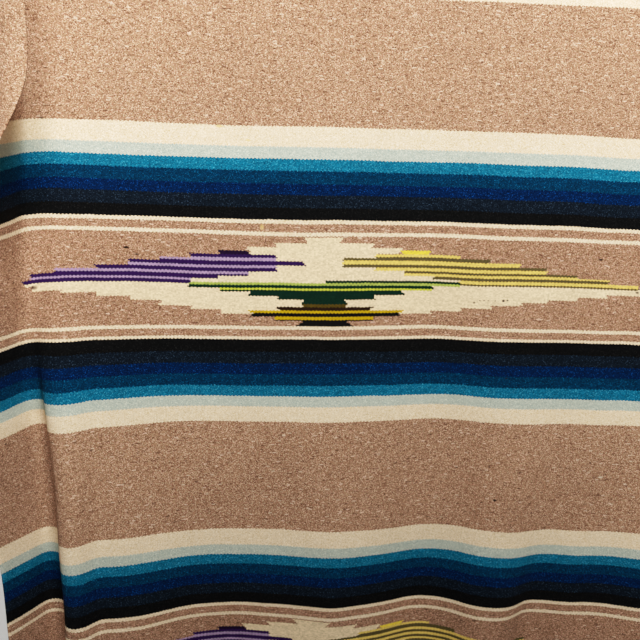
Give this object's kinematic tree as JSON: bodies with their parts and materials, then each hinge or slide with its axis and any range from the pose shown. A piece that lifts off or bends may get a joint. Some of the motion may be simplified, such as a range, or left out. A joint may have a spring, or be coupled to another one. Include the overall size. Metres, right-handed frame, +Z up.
{
  "type": "mexican serape",
  "caption": "Long rectangular handwoven wool serape with crosswise stripes and stepped lozenges, hung by its top edge in soft upright folds, with fringed ends.",
  "frame": {"origin": "middle of the held top edge of the cloth, at mid-thickness", "axes": "+Z is up and the cloth falls towards -Z; -Y is the way its face looks; X runs across its width, with +X to the right as seen from its face"},
  "size_m": [1.2603, 0.2413, 2.2291],
  "materials": {
    "woven_wool": "weft-faced wool, brown heather ground with cream, blue and black stripes and small stepped lozenges",
    "warp_yarn": "undyed cream warp yarn, twisted and knotted into short locks"
  },
  "bodies": {
    "root": {"woven_panel": "woven_wool", "fringe_top": "warp_yarn", "fringe_bottom": "warp_yarn"}
  },
  "joints": []
}
